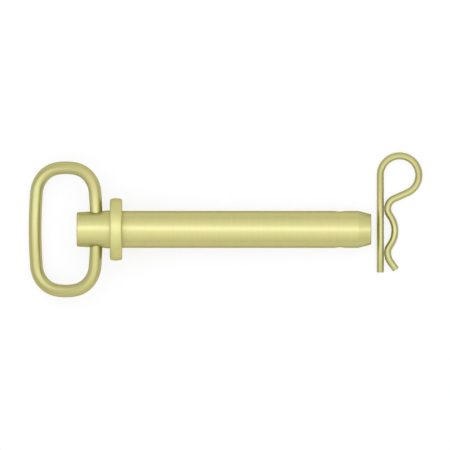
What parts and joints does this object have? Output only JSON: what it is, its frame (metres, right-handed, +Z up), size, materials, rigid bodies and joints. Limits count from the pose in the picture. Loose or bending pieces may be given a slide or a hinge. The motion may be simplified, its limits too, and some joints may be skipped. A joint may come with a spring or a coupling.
{
  "type": "hitch pin",
  "caption": "Round steel hitch pin with a stop collar, a coned nose, an oval wire ring handle hinged in its head, and its hairpin clip lying beside the nose.",
  "frame": {"origin": "on the pin's axis at the collar's thrust face", "axes": "+X along the pin towards the nose, as seen from above, +Y across it along both cross holes, +Z up from the table that it lies on"},
  "size_m": [0.1696, 0.0623, 0.0268],
  "materials": {
    "bar": "yellow zinc on turned bar",
    "collar": "yellow zinc on turned collar",
    "ring_wire": "yellow zinc on drawn wire",
    "spring_wire": "yellow zinc on drawn spring wire"
  },
  "bodies": {
    "pin": {"shank": "bar", "collar": "collar"},
    "ring": {"ring_handle": "ring_wire"},
    "clip": {"hairpin_clip": "spring_wire"}
  },
  "joints": [
    {"name": "ring_swing", "type": "hinge", "parent": "pin", "child": "ring", "pos_m": [-0.01101, 0, 0.00058], "axis": [0, 1, 0], "range_deg": [-132.5, 183]},
    {"name": "clip_pull", "type": "slide", "parent": "pin", "child": "clip", "axis": [0, 1, 0], "range_m": [0, 0.05]}
  ]
}
